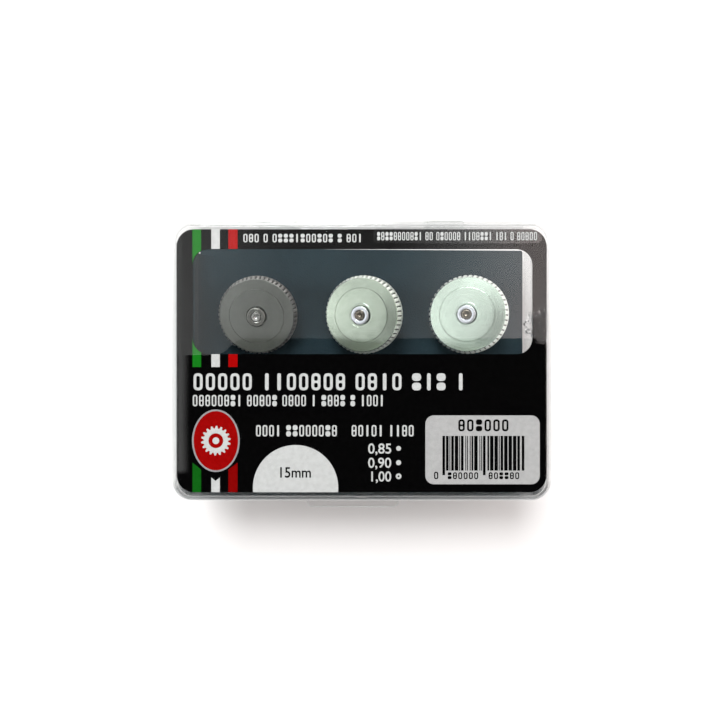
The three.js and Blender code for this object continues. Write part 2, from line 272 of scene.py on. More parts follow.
class Nodes:
    """Makes and links the nodes of one material, or of the world."""

    def __init__(self, owner, output="ShaderNodeOutputMaterial"):
        self.owner = owner
        owner.use_nodes = True
        self.tree = owner.node_tree
        self.tree.nodes.clear()
        self.output = self.tree.nodes.new(output)

    def add(self, kind, **inputs):
        node = self.tree.nodes.new("ShaderNode" + kind)
        for key, value in inputs.items():
            self.feed(node.inputs[key.replace("_", " ")], value)
        return node

    def feed(self, socket, value):
        """Links a socket to another one, or sets it to a value."""
        if isinstance(value, bpy.types.NodeSocket):
            self.tree.links.new(value, socket)
        else:
            socket.default_value = value

    def math(self, operation, a, b=0.0):
        node = self.tree.nodes.new("ShaderNodeMath")
        node.operation = operation
        for socket, value in zip(node.inputs, (a, b)):
            self.feed(socket, value)
        return node.outputs[0]

    def remain(self, share):
        """One less a share."""
        return self.math("SUBTRACT", 1.0, share)

    def remap(self, value, low, high, to_low, to_high, smooth=False):
        node = self.tree.nodes.new("ShaderNodeMapRange")
        node.interpolation_type = "SMOOTHSTEP" if smooth else "LINEAR"
        for socket, v in zip(node.inputs, (value, low, high, to_low, to_high)):
            self.feed(socket, v)
        return node.outputs[0]

    def blend(self, factor, a, b):
        """A colour between two colours."""
        node = self.tree.nodes.new("ShaderNodeMix")
        node.data_type = "RGBA"
        self.feed(node.inputs[0], factor)
        self.feed(node.inputs[6], a)
        self.feed(node.inputs[7], b)
        return node.outputs[2]

    def noise(self, scale, detail=3.0, roughness=0.55, vector=None):
        node = self.add("TexNoise", Scale=scale, Detail=detail, Roughness=roughness)
        self.feed(node.inputs["Vector"], self.place() if vector is None else vector)
        return node.outputs["Fac"]

    def place(self):
        """The point on the piece, in millimetres of its own axes."""
        where = self.add("TexCoord").outputs["Object"]
        node = self.tree.nodes.new("ShaderNodeVectorMath")
        node.operation = "SCALE"
        self.feed(node.inputs[0], where)
        node.inputs["Scale"].default_value = 1 / MM
        return node.outputs[0]

    def bump(self, height, strength, distance_mm):
        node = self.add("Bump", Strength=strength, Distance=distance_mm * MM, Height=height)
        return node.outputs[0]

    def lets_light_through(self):
        """1 for the rays that carry shadow and soft light, which clear plastic lets through."""
        path = self.add("LightPath").outputs
        return self.math("MAXIMUM", path["Is Shadow Ray"], path["Is Diffuse Ray"])

    def mix_shaders(self, share, a, b):
        node = self.add("MixShader", Fac=share)
        self.tree.links.new(a.outputs[0], node.inputs[1])
        self.tree.links.new(b.outputs[0], node.inputs[2])
        return node

    def surface(self, shader):
        self.tree.links.new(shader.outputs[0], self.output.inputs["Surface"])
        return self.owner


def new_material(name):
    return Nodes(bpy.data.materials.new(name))


def clear_plastic(name, tint, crazed=None):
    """Clear moulded plastic that bends light, marked with fine scuffs. Lamps shine through it.
    A crazed spot is given as its middle and its radius."""
    n = new_material(name)
    height = n.math("MULTIPLY", n.noise(0.09, detail=1.0), 0.25)
    scuffs = n.noise(3.0, detail=6.0, roughness=0.7)
    scratch = n.remap(scuffs, 0.6, 0.8, 0.0, 0.02)
    if crazed:
        middle, radius = crazed
        away = n.tree.nodes.new("ShaderNodeVectorMath")
        away.operation = "DISTANCE"
        n.feed(away.inputs[0], n.place())
        away.inputs[1].default_value = middle
        wobble = n.math("ADD", away.outputs["Value"], n.remap(n.noise(0.7), 0.3, 0.7, -1.2, 1.2))
        spot = n.remap(wobble, radius * 0.7, radius, 1.0, 0.0, smooth=True)
        crazing = n.math("MULTIPLY", n.noise(1.6, detail=5.0, roughness=0.6), 9.0)
        height = n.math("ADD", height, n.math("MULTIPLY", spot, crazing))
    glass = n.add(
        "BsdfPrincipled",
        Base_Color=(*tint, 1),
        Roughness=scratch,
        IOR=1.49,
        Transmission_Weight=1.0,
        Normal=n.bump(height, 1.0, 0.02),
    )
    clear = n.add("BsdfTransparent", Color=(0.97, 0.97, 0.97, 1))
    return n.surface(n.mix_shaders(n.lets_light_through(), glass, clear))


def printed(name, colour, roughness=0.4, specular=0.25):
    """Ink on card: even colour with a faint mottle and the card's fine tooth."""
    fleck = 0.06  # how far the mottle goes either side of the colour
    n = new_material(name)
    mottle = n.noise(1.4, detail=4.0)
    tooth = n.noise(14.0, detail=2.0)
    lighter = tuple(min(1.0, c * (1 + fleck) + fleck * 0.01) for c in colour)
    darker = tuple(c * (1 - fleck) for c in colour)
    ink = n.blend(n.remap(mottle, 0.35, 0.65, 0.0, 1.0), (*darker, 1), (*lighter, 1))
    shader = n.add(
        "BsdfPrincipled",
        Base_Color=ink,
        Roughness=n.remap(mottle, 0.3, 0.7, roughness - 0.05, roughness + 0.07),
        Specular_IOR_Level=specular,
        Normal=n.bump(tooth, 0.05, 0.01),
    )
    return n.surface(shader)


def foam_material():
    """Dark blue closed-cell foam with fine open pores on its cut face."""
    n = new_material("foam")
    cells = n.add("TexVoronoi", Scale=4.2, Vector=n.place())
    pores = n.noise(7.0, detail=5.0, roughness=0.7)
    patches = n.noise(0.12, detail=2.0)
    relief = n.math("ADD", n.math("MULTIPLY", cells.outputs["Distance"], 0.6), pores)
    deep, middling, pale = (0.0078, 0.0215, 0.0295, 1), (0.0115, 0.0285, 0.0375, 1), (0.028, 0.05, 0.058, 1)
    base = n.blend(n.remap(patches, 0.3, 0.7, 0, 1), deep, middling)
    colour = n.blend(n.remap(pores, 0.45, 0.8, 0, 0.6), base, pale)
    shader = n.add(
        "BsdfPrincipled",
        Base_Color=colour,
        Roughness=0.92,
        Specular_IOR_Level=0.2,
        Sheen_Weight=0.15,
        Sheen_Roughness=0.5,
        Normal=n.bump(relief, 0.7, 0.12),
    )
    return n.surface(shader)


def steel(name, pale, dark, roughness, rings):
    """Turned steel: fine rings about the piece's own axis, faint stains and a soft shine."""
    n = new_material(name)
    where = n.place()
    split = n.add("SeparateXYZ", Vector=where)
    across = n.math("MULTIPLY", split.outputs[0], split.outputs[0])
    along = n.math("MULTIPLY", split.outputs[1], split.outputs[1])
    radius = n.math("SQRT", n.math("ADD", across, along))
    on_ring = n.add("CombineXYZ", X=radius, Y=split.outputs[2], Z=0.0)
    tool_marks = n.noise(9.0, detail=3.0, vector=on_ring.outputs[0])
    stains = n.noise(0.55, detail=5.0, roughness=0.65, vector=where)
    grain = n.noise(20.0, detail=2.0, vector=where)
    colour = n.blend(n.remap(stains, 0.35, 0.65, 0.0, 1.0), (*dark, 1), (*pale, 1))
    shine = n.math("ADD", n.remap(tool_marks, 0.3, 0.7, roughness - 0.008, roughness + 0.012),
                   n.remap(grain, 0.3, 0.7, -0.03, 0.03))
    relief = n.math("ADD", n.math("MULTIPLY", tool_marks, rings), n.math("MULTIPLY", grain, 0.3))
    shader = n.add(
        "BsdfPrincipled",
        Base_Color=colour,
        Metallic=1.0,
        Roughness=shine,
        Normal=n.bump(relief, 0.06, 0.01),
    )
    return n.surface(shader)


def wall_plastic():
    """The clear mouldings' walls. They are clear face on, and reflect what is beside them where they
    are seen edge on. Along the front they do so most, and are tinted grey there, which is painted shade.
    Where they are seen nearly edge on, their clear part is tinted darker, which is painted shade along the
    outline."""
    n = new_material("clear_wall_plastic")
    scuffs = n.noise(2.2, detail=5.0, roughness=0.65)
    edge_on = n.add("LayerWeight", Blend=0.5).outputs["Facing"]
    depth = n.add("SeparateXYZ", Vector=n.place()).outputs[1]
    front = n.remap(depth, -CASE_DEPTH / 2 + 4.0, -CASE_DEPTH / 2 + 0.8, 0.0, 1.0, smooth=True)
    beside = n.remap(edge_on, 0.52, 0.97, 0.04, 0.55, smooth=True)
    before = n.remap(edge_on, 0.4, 0.72, 0.04, 0.92, smooth=True)
    share = n.math("ADD", n.math("MULTIPLY", beside, n.remain(front)),
                   n.math("MULTIPLY", before, front))
    share = n.math("ADD", share, n.remap(scuffs, 0.6, 0.8, 0.0, 0.03))
    # Painted shade: the front walls turn grey, most where they are seen edge on.
    front_painted_shade = n.math("MULTIPLY", front, n.remap(edge_on, 0.45, 0.72, 0.0, 1.0))
    gloss = n.add(
        "BsdfGlossy",
        Color=n.blend(front_painted_shade, (0.96, 0.98, 0.97, 1), (0.8, 0.81, 0.82, 1)),
        Roughness=n.math("ADD", n.remap(scuffs, 0.3, 0.8, 0.02, 0.12), n.math("MULTIPLY", front_painted_shade, 0.3)),
        Normal=n.bump(scuffs, 0.06, 0.02),
    )
    # Painted shade: the clear part darkens where a wall is seen nearly edge on, which draws the case's
    # outline.
    outline = n.remap(edge_on, 0.78, 0.98, 0.0, 1.0)
    tint = n.blend(front_painted_shade, (0.985, 0.99, 0.988, 1), (0.8, 0.81, 0.82, 1))
    clear = n.add("BsdfTransparent", Color=n.blend(outline, tint, (0.6, 0.62, 0.62, 1)))
    share = n.math("MULTIPLY", share, n.remain(n.lets_light_through()))
    return n.surface(n.mix_shaders(share, clear, gloss))


CLEAR = clear_plastic("clear_plastic", (1.0, 1.0, 1.0))
CLEAR_LID = clear_plastic("clear_lid_plastic", (1.0, 1.0, 1.0), crazed=((31.8, 6.0, 18.0), 3.0))
CLEAR_WALL = wall_plastic()
CLEAR_FILM = clear_plastic("clear_film", (0.99, 0.99, 0.99))
BLACK_INK = printed("black_ink", (0.0012, 0.0012, 0.0013), roughness=0.5, specular=0.0)
WHITE_INK = printed("white_ink", (0.54, 0.565, 0.56))
LABEL_INK = printed("label_ink", (0.42, 0.43, 0.43))
GREEN_INK = printed("green_ink", (0.006, 0.17, 0.009), specular=0.02)
RED_INK = printed("red_ink", (0.36, 0.001, 0.001), specular=0.02)
# Darker copies of the green and red inks: painted shade on the stripes' parts under the badge.
GREEN_INK_PAINTED_SHADE = printed("green_ink_painted_shade", (0.004, 0.105, 0.006), specular=0.02)
RED_INK_PAINTED_SHADE = printed("red_ink_painted_shade", (0.21, 0.0006, 0.0006), specular=0.02)
BADGE_INK = printed("badge_ink", (0.285, 0.001, 0.001), specular=0.02)
SILVER_INK = printed("silver_ink", (0.28, 0.28, 0.29), roughness=0.3, specular=0.5)
CARD_STOCK = printed("card_stock", (0.78, 0.76, 0.72), roughness=0.8)
FOAM = foam_material()
STEEL = {
    "85": steel("steel_85", (0.28, 0.30, 0.28), (0.255, 0.275, 0.255), 0.34, rings=0.05),
    "90": steel("steel_90", (0.56, 0.65, 0.55), (0.50, 0.59, 0.49), 0.22, rings=0.05),
    "100": steel("steel_100", (0.68, 0.81, 0.71), (0.62, 0.75, 0.65), 0.26, rings=0.05),
}
BRIGHT_COLLAR = steel("bright_collar", (0.80, 0.84, 0.90), (0.74, 0.78, 0.84), 0.24, rings=0.06)
DARK_COLLAR = steel("dark_collar", (0.27, 0.28, 0.26), (0.23, 0.24, 0.22), 0.3, rings=0.06)
BROWN_PIN = steel("brown_pin", (0.30, 0.27, 0.22), (0.22, 0.20, 0.16), 0.26, rings=0.06)
PALE_PIN = steel("pale_pin", (0.62, 0.64, 0.62), (0.52, 0.54, 0.52), 0.26, rings=0.06)
RIDGE = {
    "85": steel("ridge_85", (0.34, 0.34, 0.33), (0.28, 0.28, 0.27), 0.5, rings=0.0),
    "90": steel("ridge_90", (0.88, 0.93, 0.88), (0.80, 0.86, 0.80), 0.5, rings=0.0),
    "100": steel("ridge_100", (0.92, 0.96, 0.92), (0.85, 0.90, 0.86), 0.5, rings=0.0),
}
# Painted shade: a dark steel colour for the tooth notches, where shade falls.
NOTCH_PAINTED_SHADE = steel("notch_painted_shade", (0.14, 0.14, 0.13), (0.10, 0.10, 0.09), 0.5, rings=0.0)
COLLAR = {"85": DARK_COLLAR, "90": BRIGHT_COLLAR, "100": BRIGHT_COLLAR}
PIN_STEEL = {"85": PALE_PIN, "90": BROWN_PIN, "100": BROWN_PIN}


# ---------------------------------------------------------------- case


def make_tray():
    """The moulded tray: floor, walls, inner lip, hinge barrel with its stubs, and snap tooth."""
    profile = [(EDGE + NEAR, 0.0), *arc(EDGE, EDGE, EDGE, 270, 180), (0.0, EDGE + NEAR)]
    profile += [(0.0, TRAY_RIM - RIM_EDGE), (RIM_EDGE, TRAY_RIM)]
    profile += [(LIP_OUT, TRAY_RIM), (LIP_OUT, LIP_TOP - LIP_EDGE), (LIP_OUT + LIP_EDGE, LIP_TOP)]
    profile += [(LIP_IN - LIP_EDGE, LIP_TOP), (LIP_IN, LIP_TOP - LIP_EDGE), (LIP_IN, LIP_LOW)]
    soft = FLOOR_ROUNDING
    profile += [(WALL, LIP_LOW - 0.4), (WALL, FLOOR + soft + NEAR)]
    profile += [*arc(WALL + soft, FLOOR + soft, soft, 180, 270), (WALL + soft + NEAR, FLOOR)]
    tray = as_object("clear_tray", loft([case_ring(inset, z) for inset, z in profile]))
    back, front = CASE_DEPTH / 2, -CASE_DEPTH / 2
    stub_end = BARREL_HALF + EAR_FAR - EAR_NEAR
    web, web_half = BARREL_HALF - 0.1, HINGE_RADIUS - 0.05
    for joined in (
        bar_along_x(HINGE_RADIUS, -BARREL_HALF, BARREL_HALF, HINGE.y, HINGE.z, edge=0.15),
        block(-web, web, back - OVERLAP, HINGE.y, HINGE.z - web_half, HINGE.z + web_half),
        bar_along_x(STUB_RADIUS, -stub_end, stub_end, HINGE.y, HINGE.z, edge=0.12, steps=32),
        snap_tooth(front),
    ):
        cut_or_join(tray, joined, "UNION")
    mark_walls(tray)
    return finish_piece(tray, "tray", "case_base", [CLEAR, CLEAR_WALL])


def mark_walls(piece):
    """Gives a moulding's upright and rounded faces its second material."""
    for face in piece.data.polygons:
        face.material_index = int(abs(face.normal.z) < 0.97)


def snap_tooth(front):
    """A wedge on the front wall, steep below and sloping above, with a narrow upright nose."""
    root, nose = front + OVERLAP, front - TOOTH_REACH
    low, high = TOOTH_Z - TOOTH_HALF_HEIGHT, TOOTH_Z + TOOTH_HALF_HEIGHT
    side = [(root, low), (nose, low), (nose, low + 0.2), (root, high)]
    return loft([[(x, y, z) for y, z in side] for x in (-TOOTH_HALF_WIDTH, TOOTH_HALF_WIDTH)])


def make_lid():
    """The moulded lid: top, walls, hinge ears, thumb tab, snap tongue and card nubs."""
    inner_top = CASE_HEIGHT - TOP
    wall_top = CASE_HEIGHT - EDGE
    profile = [(EDGE + NEAR, CASE_HEIGHT), *arc(EDGE, wall_top, EDGE, 90, 180, steps=8)]
    profile += [(0.0, wall_top - NEAR), (0.0, LID_RIM + RIM_EDGE), (RIM_EDGE, LID_RIM)]
    soft = TOP_ROUNDING
    profile += [(WALL - RIM_EDGE, LID_RIM), (WALL, LID_RIM + RIM_EDGE), (WALL, inner_top - soft - NEAR)]
    profile += [*arc(WALL + soft, inner_top - soft, soft, 180, 90, steps=4), (WALL + soft + NEAR, inner_top)]
    lid = as_object("clear_lid", loft([case_ring(inset, z) for inset, z in profile]))
    for side in (-1, 1):
        add_ear(lid, side)
        add_nubs(lid, side)
    add_latch(lid)
    mark_walls(lid)
    return finish_piece(lid, "lid", "case_lid", [CLEAR_LID, CLEAR_WALL])


def add_ear(lid, side):
    """A hinge ear on its arm, bored for the stub and slotted so that it clicks on."""
    x0, x1 = sorted((side * EAR_NEAR, side * EAR_FAR))
    cut_or_join(lid, bar_along_x(HINGE_RADIUS, x0, x1, HINGE.y, HINGE.z, edge=0.15), "UNION")
    arm_top = LID_RIM + ARM_RISE
    arm = block(x0 + 0.1, x1 - 0.1, HINGE.y - HINGE_RADIUS + 0.03, HINGE.y + 0.02, HINGE.z, arm_top)
    cut_or_join(lid, arm, "UNION")
    wall = CASE_DEPTH / 2 - OVERLAP
    root = block(x0 + 0.1, x1 - 0.1, wall, HINGE.y - 0.1, LID_RIM + 0.03, arm_top - 0.02)
    cut_or_join(lid, root, "UNION")
    cut_or_join(lid, bar_along_x(EAR_HOLE, x0 - 1, x1 + 1, HINGE.y, HINGE.z, steps=32), "DIFFERENCE")
    half = SNAP_SLOT / 2
    slot = block(x0 - 1, x1 + 1, HINGE.y - half, HINGE.y + half, HINGE.z - 2, HINGE.z)
    cut_or_join(lid, slot, "DIFFERENCE")


def add_nubs(lid, side):
    """The two nubs on one side wall that the card rests on."""
    wall = side * (CASE_WIDTH / 2 - WALL)
    across = sorted((wall - side * NUB_REACH, wall + side * OVERLAP))
    top = CARD_LOW.z - 0.05
    for y in (-NUB_Y, NUB_Y):
        cut_or_join(lid, block(*across, y - NUB_HALF, y + NUB_HALF, top - NUB_HEIGHT, top), "UNION")


def add_latch(lid):
    """The thumb tab, the snap tongue with its window, and the rib above the tab."""
    front = -CASE_DEPTH / 2
    tab_top = LID_RIM + TAB_THICKNESS
    soft = 0.2  # rounding of the tab's edges
    left, right, reach = TAB_X - TAB_WIDTH / 2, TAB_X + TAB_WIDTH / 2, front - TAB_REACH
    tab = rounded_outline(left, right, reach, front + OVERLAP, 0.9)
    inner_tab = rounded_outline(left + soft, right - soft, reach + soft, front + OVERLAP, 0.7)
    levels = ((inner_tab, LID_RIM), (tab, LID_RIM + soft), (tab, tab_top - soft), (inner_tab, tab_top))
    cut_or_join(lid, loft([[(x, y, z) for x, y in ring] for ring, z in levels]), "UNION")
    back = front - TONGUE_GAP
    near, half = back - TONGUE_THICKNESS, TONGUE_WIDTH / 2
    tongue = block(-half, half, near, back, LID_RIM - TONGUE_DROP, tab_top - 0.3, bevel=0.15)
    cut_or_join(lid, tongue, "UNION")
    half, tall = TONGUE_WINDOW_HALF
    window = block(-half, half, near - 1, back + 1, TOOTH_Z - tall, TOOTH_Z + tall)
    cut_or_join(lid, window, "DIFFERENCE")
    rib_top = tab_top + RIB_HEIGHT
    rib = block(-RIB_HALF, RIB_HALF, front - RIB_REACH, front + OVERLAP, tab_top - 0.3, rib_top, bevel=0.1)
    cut_or_join(lid, rib, "UNION")


# ---------------------------------------------------------------- print

HALF_DISC = (-11.6, -22.3)
SIZE_ROWS = ((-15.4, "0,85"), (-17.9, "0,90"), (-20.3, "1,00"))
DOTS_X = 6.5  # where the round dot of each size row stands
STRIPES = ((-29.7, -28.2), (-26.4, -24.9), (-23.4, -21.8))
BADGE_MIDDLE = (-25.6, -14.05)
WORD_GAP = 0.6  # the gap between two words, in marks

INKS = [
    BLACK_INK, WHITE_INK, GREEN_INK, RED_INK, GREEN_INK_PAINTED_SHADE, RED_INK_PAINTED_SHADE, BADGE_INK, SILVER_INK,
    LABEL_INK, CARD_STOCK,
]
BLACK, WHITE, GREEN, RED, GREEN_PAINTED_SHADE, RED_PAINTED_SHADE, BADGE, SILVER, LABEL, STOCK = range(len(INKS))


def soft_box(left, right, low, high):
    """A box whose corners are as round as its shorter side allows."""
    corner = min(right - left, high - low) * 0.4
    return rounded_outline(left, right, low, high, corner, steps=3)


def mark_words(left, right, low, high, words, seed, ink, ground):
    """Blocks, frames and split blocks in groups, standing for a line of print."""
    chance = random.Random(seed)
    cells = sum(words) + WORD_GAP * (len(words) - 1)
    cell = (right - left) / cells
    width = cell * 0.74
    stroke = min(width, high - low) * 0.3
    middle = (low + high) / 2
    x = left + (cell - width) / 2
    marks = []
    for word in words:
        for _ in range(word):
            kind = chance.choice(("frame", "frame", "frame", "split", "frames", "bar"))
            if kind == "bar":
                marks.append((ink, soft_box(x + width * 0.3, x + width * 0.7, low, high)))
            elif kind == "split":
                marks.append((ink, soft_box(x, x + width, low, middle - stroke * 0.3)))
                marks.append((ink, soft_box(x, x + width, middle + stroke * 0.3, high)))
            else:
                marks.append((ink, soft_box(x, x + width, low, high)))
                holes = [(low + stroke, high - stroke)]
                if kind == "frames":
                    holes = [(low + stroke, middle - stroke * 0.4), (middle + stroke * 0.4, high - stroke)]
                for hole_low, hole_high in holes:
                    marks.append((ground, soft_box(x + stroke, x + width - stroke, hole_low, hole_high)))
            x += cell
        x += WORD_GAP * cell
    return marks


def toothed_outline(x, y, tip, root, teeth):
    """A gear's outline."""
    points = []
    for i in range(teeth):
        for share, radius in ((0.0, root), (0.22, tip), (0.5, tip), (0.72, root)):
            a = 2 * math.pi * (i + share) / teeth
            points.append((x + radius * math.cos(a), y + radius * math.sin(a)))
    return points


def half_disc(x, y, radius, floor):
    """The part of a disc that stands above a level."""
    steps = 40
    start = math.asin((floor - y) / radius)
    span = math.pi - 2 * start
    turns = [start + span * i / steps for i in range(steps + 1)]
    return [(x + radius * math.cos(a), y + radius * math.sin(a)) for a in turns]


def oval_outline(x, y, across, up):
    return [(x + px * across, y + py * up) for px, py in circle_outline(0, 0, 1, steps=64)]


def card_artwork():
    """The card's printed shapes as (ink, outline), later ones over earlier ones."""
    top, bottom = CARD_HIGH.y, CARD_LOW.y
    art = []
    for ink, (left, right) in zip((GREEN, WHITE, RED), STRIPES):
        art.append((ink, box_outline(left, right, -1.1, top)))
    # The stripes come back under the badge: the outer two cut slanting, the middle one notched. Their green
    # and red are darker copies of the upper inks, which is painted shade.
    (left, right), (middle_left, middle_right), (far_left, far_right) = STRIPES
    high, low = -17.9, -19.1
    art.append((GREEN_PAINTED_SHADE, [(left, bottom), (right, bottom), (right, low), (left, high)]))
    art.append((RED_PAINTED_SHADE, [(far_left, bottom), (far_right, bottom), (far_right, high), (far_left, low)]))
    tips, notch = -20.5, ((middle_left + middle_right) / 2, -21.1)
    art.append((WHITE, [
        (middle_left, bottom), (middle_right, bottom), (middle_right, tips), notch, (middle_left, tips),
    ]))
    art += mark_words(-20.9, 0.2, 20.8, 22.3, (3, 1, 11, 1, 3), 1, WHITE, BLACK)
    art += mark_words(-29.8, 18.5, -5.2, -2.2, (5, 7, 4, 3, 1), 2, WHITE, BLACK)
    art += mark_words(-29.8, 4.1, -8.0, -6.0, (8, 5, 4, 1, 4, 1, 4), 3, WHITE, BLACK)
    art.append((SILVER, oval_outline(*BADGE_MIDDLE, 4.2, 5.5)))
    art.append((BADGE, oval_outline(*BADGE_MIDDLE, 3.9, 5.2)))
    art.append((WHITE, toothed_outline(*BADGE_MIDDLE, 2.6, 2.15, 18)))
    art.append((BADGE, circle_outline(*BADGE_MIDDLE, 1.3)))
    art.append((WHITE, circle_outline(*BADGE_MIDDLE, 0.6)))
    art += mark_words(-18.7, -4.2, -13.3, -11.3, (4, 8), 4, WHITE, BLACK)
    art += mark_words(-1.9, 9.3, -13.3, -11.3, (5, 4), 5, WHITE, BLACK)
    art.append((WHITE, half_disc(*HALF_DISC, TIP, bottom)))
    for (y, _), diameter in zip(SIZE_ROWS, (0.85, 0.9, 1.0)):
        art.append((WHITE, circle_outline(DOTS_X, y, diameter / 2, 24)))
    art.append((BLACK, circle_outline(DOTS_X, SIZE_ROWS[-1][0], 0.17, 16)))
    art.append((LABEL, rounded_outline(11.2, 31.3, -21.7, -9.6, 1.5)))
    art += mark_words(16.8, 26.0, -12.4, -10.3, (6,), 6, BLACK, LABEL)
    art += [(BLACK, outline) for outline in bar_pattern(14.2, 28.9, -19.3, -13.2, 7)]
    art += mark_words(12.6, 13.6, -20.8, -19.5, (1,), 8, BLACK, LABEL)
    art += mark_words(15.0, 20.6, -20.8, -19.6, (6,), 9, BLACK, LABEL)
    art += mark_words(22.2, 27.8, -20.8, -19.6, (6,), 10, BLACK, LABEL)
    return art


def bar_pattern(left, right, low, high, seed):
    """Upright bars of uneven width. The outer pair and the middle pair are longer."""
    chance = random.Random(seed)
    modules = 95
    module = (right - left) / modules
    bars = []
    place = 0
    while place < modules:
        width = chance.choice((1, 2, 3, 3, 4))
        if place + width > modules:
            break
        guard = place < 4 or place > 90 or 45 <= place <= 49
        x = left + place * module
        bars.append(box_outline(x, x + width * module, low - (0.8 if guard else 0), high))
        place += width + chance.choice((1, 1, 1, 2))
    return bars


def inside(point, outline):
    """Whether a point lies within a closed outline."""
    x, y = point
    hit = False
    for (x0, y0), (x1, y1) in zip(outline, outline[1:] + outline[:1]):
        if (y0 > y) != (y1 > y) and x < x0 + (y - y0) * (x1 - x0) / (y1 - y0):
            hit = not hit
    return hit


def divided(outlines):
    """The vertices and faces of a plane cut along closed outlines."""
    points, edges = [], []
    for outline in outlines:
        start = len(points)
        points += [Vector(p) for p in outline]
        edges += [(start + i, start + (i + 1) % len(outline)) for i in range(len(outline))]
    verts, _, faces, *_ = delaunay_2d_cdt(points, edges, [], 1, 1e-5)
    return verts, faces


def middle_of(face, verts):
    return sum((verts[i] for i in face), Vector((0, 0))) / len(face)


def printed_sheet(name, border, holes, art, low, high, ground, side, back):
    """A flat sheet whose top face is divided along every printed outline, one ink to each face."""
    verts, faces = divided([border, *holes, *(outline for _, outline in art)])
    boxes = [
        (min(p[0] for p in o), max(p[0] for p in o), min(p[1] for p in o), max(p[1] for p in o))
        for _, o in art
    ]
    bm = bmesh.new()
    tops = [bm.verts.new((v.x, v.y, high)) for v in verts]
    bottoms = [bm.verts.new((v.x, v.y, low)) for v in verts]
    for face in faces:
        middle = middle_of(face, verts)
        if not inside(middle, border) or any(inside(middle, hole) for hole in holes):
            continue
        ink = ground
        for (shape_ink, outline), (x0, x1, y0, y1) in zip(art, boxes):
            if x0 < middle.x < x1 and y0 < middle.y < y1 and inside(middle, outline):
                ink = shape_ink
        top = bm.faces.new([tops[i] for i in face])
        top.material_index = ink
        under = bm.faces.new([bottoms[i] for i in reversed(face)])
        under.material_index = back
    rim = [edge for edge in bm.edges if len(edge.link_faces) == 1 and edge.verts[0].co.z > (low + high) / 2]
    lower = dict(zip(tops, bottoms))
    for edge in rim:
        a, b = edge.verts
        wall = bm.faces.new((a, b, lower[b], lower[a]))
        wall.material_index = side
    bmesh.ops.delete(bm, geom=[v for v in bm.verts if not v.link_faces], context="VERTS")
    bmesh.ops.recalc_face_normals(bm, faces=bm.faces)
    return as_object(name, bm)


def make_card():
    """The printed card, with its window."""
    border = rounded_outline(CARD_LOW.x, CARD_HIGH.x, CARD_LOW.y, CARD_HIGH.y, CARD_CORNER)
    window = rounded_outline(*WINDOW, WINDOW_CORNER)
    card = printed_sheet(
        "card_with_print", border, [window], card_artwork(), CARD_LOW.z, CARD_HIGH.z, BLACK, BLACK, STOCK
    )
    return finish_piece(card, "lid", "printed_card", INKS, sharp=20)


def make_sticker():
    """The clear film on the lid."""
    sides = (STICKER_LOW.x, STICKER_HIGH.x, STICKER_LOW.y, STICKER_HIGH.y)
    outline = rounded_outline(*sides, STICKER_CORNER)
    rings = [[(x, y, z) for x, y in outline] for z in (STICKER_LOW.z, STICKER_HIGH.z)]
    film = as_object("clear_film_sticker", loft(rings))
    return finish_piece(film, "lid", "clear_sticker", [CLEAR_FILM])


def make_sticker_marks():
    """White print on the film: thin plates, some of them frames."""
    marks = mark_words(2.6, 30.6, 20.95, 22.4, (11, 2, 6, 7, 3, 1, 5), 11, WHITE, BLACK)
    bm = bmesh.new()
    low, high = STICKER_HIGH.z + 0.002, STICKER_HIGH.z + 0.01
    holes = [outline for ink, outline in marks if ink == BLACK]
    for ink, outline in marks:
        if ink == BLACK:
            continue
        inner = [hole for hole in holes if inside(hole[0], outline)]
        verts, faces = divided((outline, *inner))
        tops = [bm.verts.new((v.x, v.y, high)) for v in verts]
        bottoms = [bm.verts.new((v.x, v.y, low)) for v in verts]
        for face in faces:
            if any(inside(middle_of(face, verts), hole) for hole in inner):
                continue
            bm.faces.new([tops[i] for i in face])
            bm.faces.new([bottoms[i] for i in reversed(face)])
    piece = as_object("sticker_marks", bm)
    return own_piece(piece, "lid", WHITE_INK)


def own_piece(piece, body, material):
    """As finish_piece, for a piece that stands for no CAD node."""
    piece.data.transform(Matrix.Scale(MM, 4))
    piece.data.materials.append(material)
    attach(piece, body)
    return piece


def make_numbers():
    """The size figures beside the dots, and the wheels' diameter in the half disc."""
    # Each row: its text, its left and right ends, the middle of its height, its height and its ink.
    rows = [(text, 1.15 if text[0] == "0" else 1.7, 5.2, y, 1.75, WHITE_INK) for y, text in SIZE_ROWS]
    rows.append(("15mm", -14.3, -8.9, -19.6, 1.8, BLACK_INK))
    for text, left, right, middle, height, ink in rows:
        curve = bpy.data.curves.new("figures", "FONT")
        curve.body = text
        curve.extrude = 0.004 / height
        curve.offset = 0.012
        writer = bpy.data.objects.new("figures", curve)
        bpy.context.scene.collection.objects.link(writer)
        shape = writer.evaluated_get(bpy.context.evaluated_depsgraph_get())
        mesh = bpy.data.meshes.new_from_object(shape)
        bpy.data.objects.remove(writer)
        xs = [v.co.x for v in mesh.vertices]
        tall = max(v.co.y for v in mesh.vertices)
        across = (right - left) / (max(xs) - min(xs))
        corner = Matrix.Translation((left, middle - height / 2, CARD_HIGH.z + 0.01))
        size = Matrix.Diagonal((across, height / tall, height, 1))
        mesh.transform(corner @ size @ Matrix.Translation((-min(xs), 0, 0)))
        mesh.materials.clear()
        piece = bpy.data.objects.new("size_figures_" + text.replace(",", "_"), mesh)
        bpy.context.scene.collection.objects.link(piece)
        own_piece(piece, "lid", ink)


# ---------------------------------------------------------------- foam


